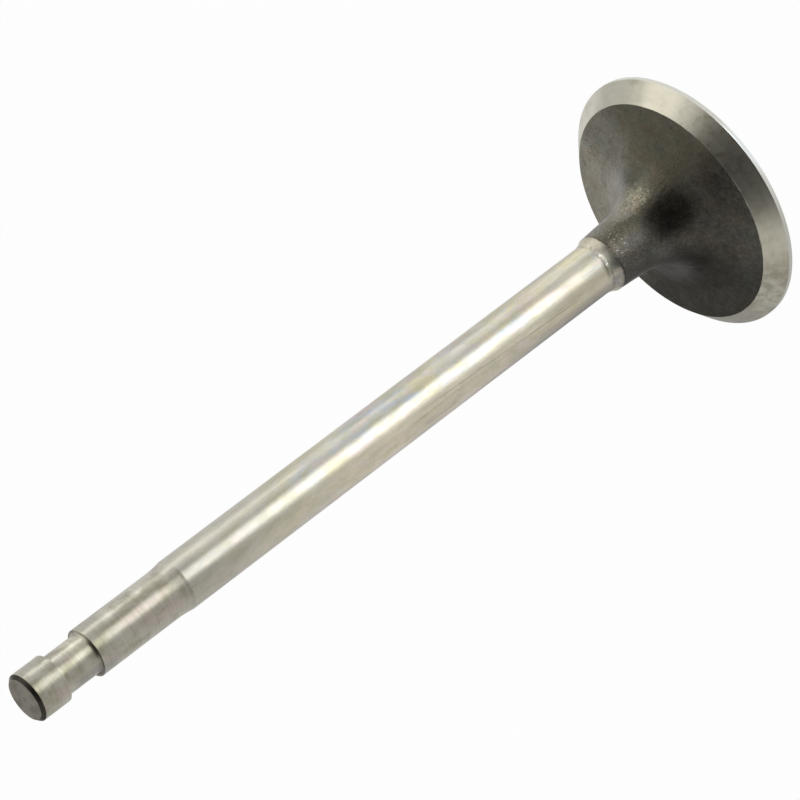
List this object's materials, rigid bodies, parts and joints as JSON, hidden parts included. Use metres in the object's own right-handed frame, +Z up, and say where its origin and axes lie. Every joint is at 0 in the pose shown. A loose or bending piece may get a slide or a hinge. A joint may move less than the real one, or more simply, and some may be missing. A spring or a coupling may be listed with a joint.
{
  "type": "engine valve",
  "caption": "Poppet valve of a diesel engine: flat head with a 45 degree ground seat, dark forged neck, long ground stem and a keeper groove near the tip.",
  "frame": {"origin": "centre of the flat combustion face of the head, which the valve stands on", "axes": "+Z runs up the stem from the head to the tip; the valve is round about Z, so X and Y are any two directions across it"},
  "size_m": [0.05, 0.05, 0.1571],
  "materials": {
    "valve_steel": "ground stem, seat and tip; neck and underside left as forged, dark and matt"
  },
  "bodies": {
    "root": {"engine_valve": "valve_steel"}
  },
  "joints": []
}
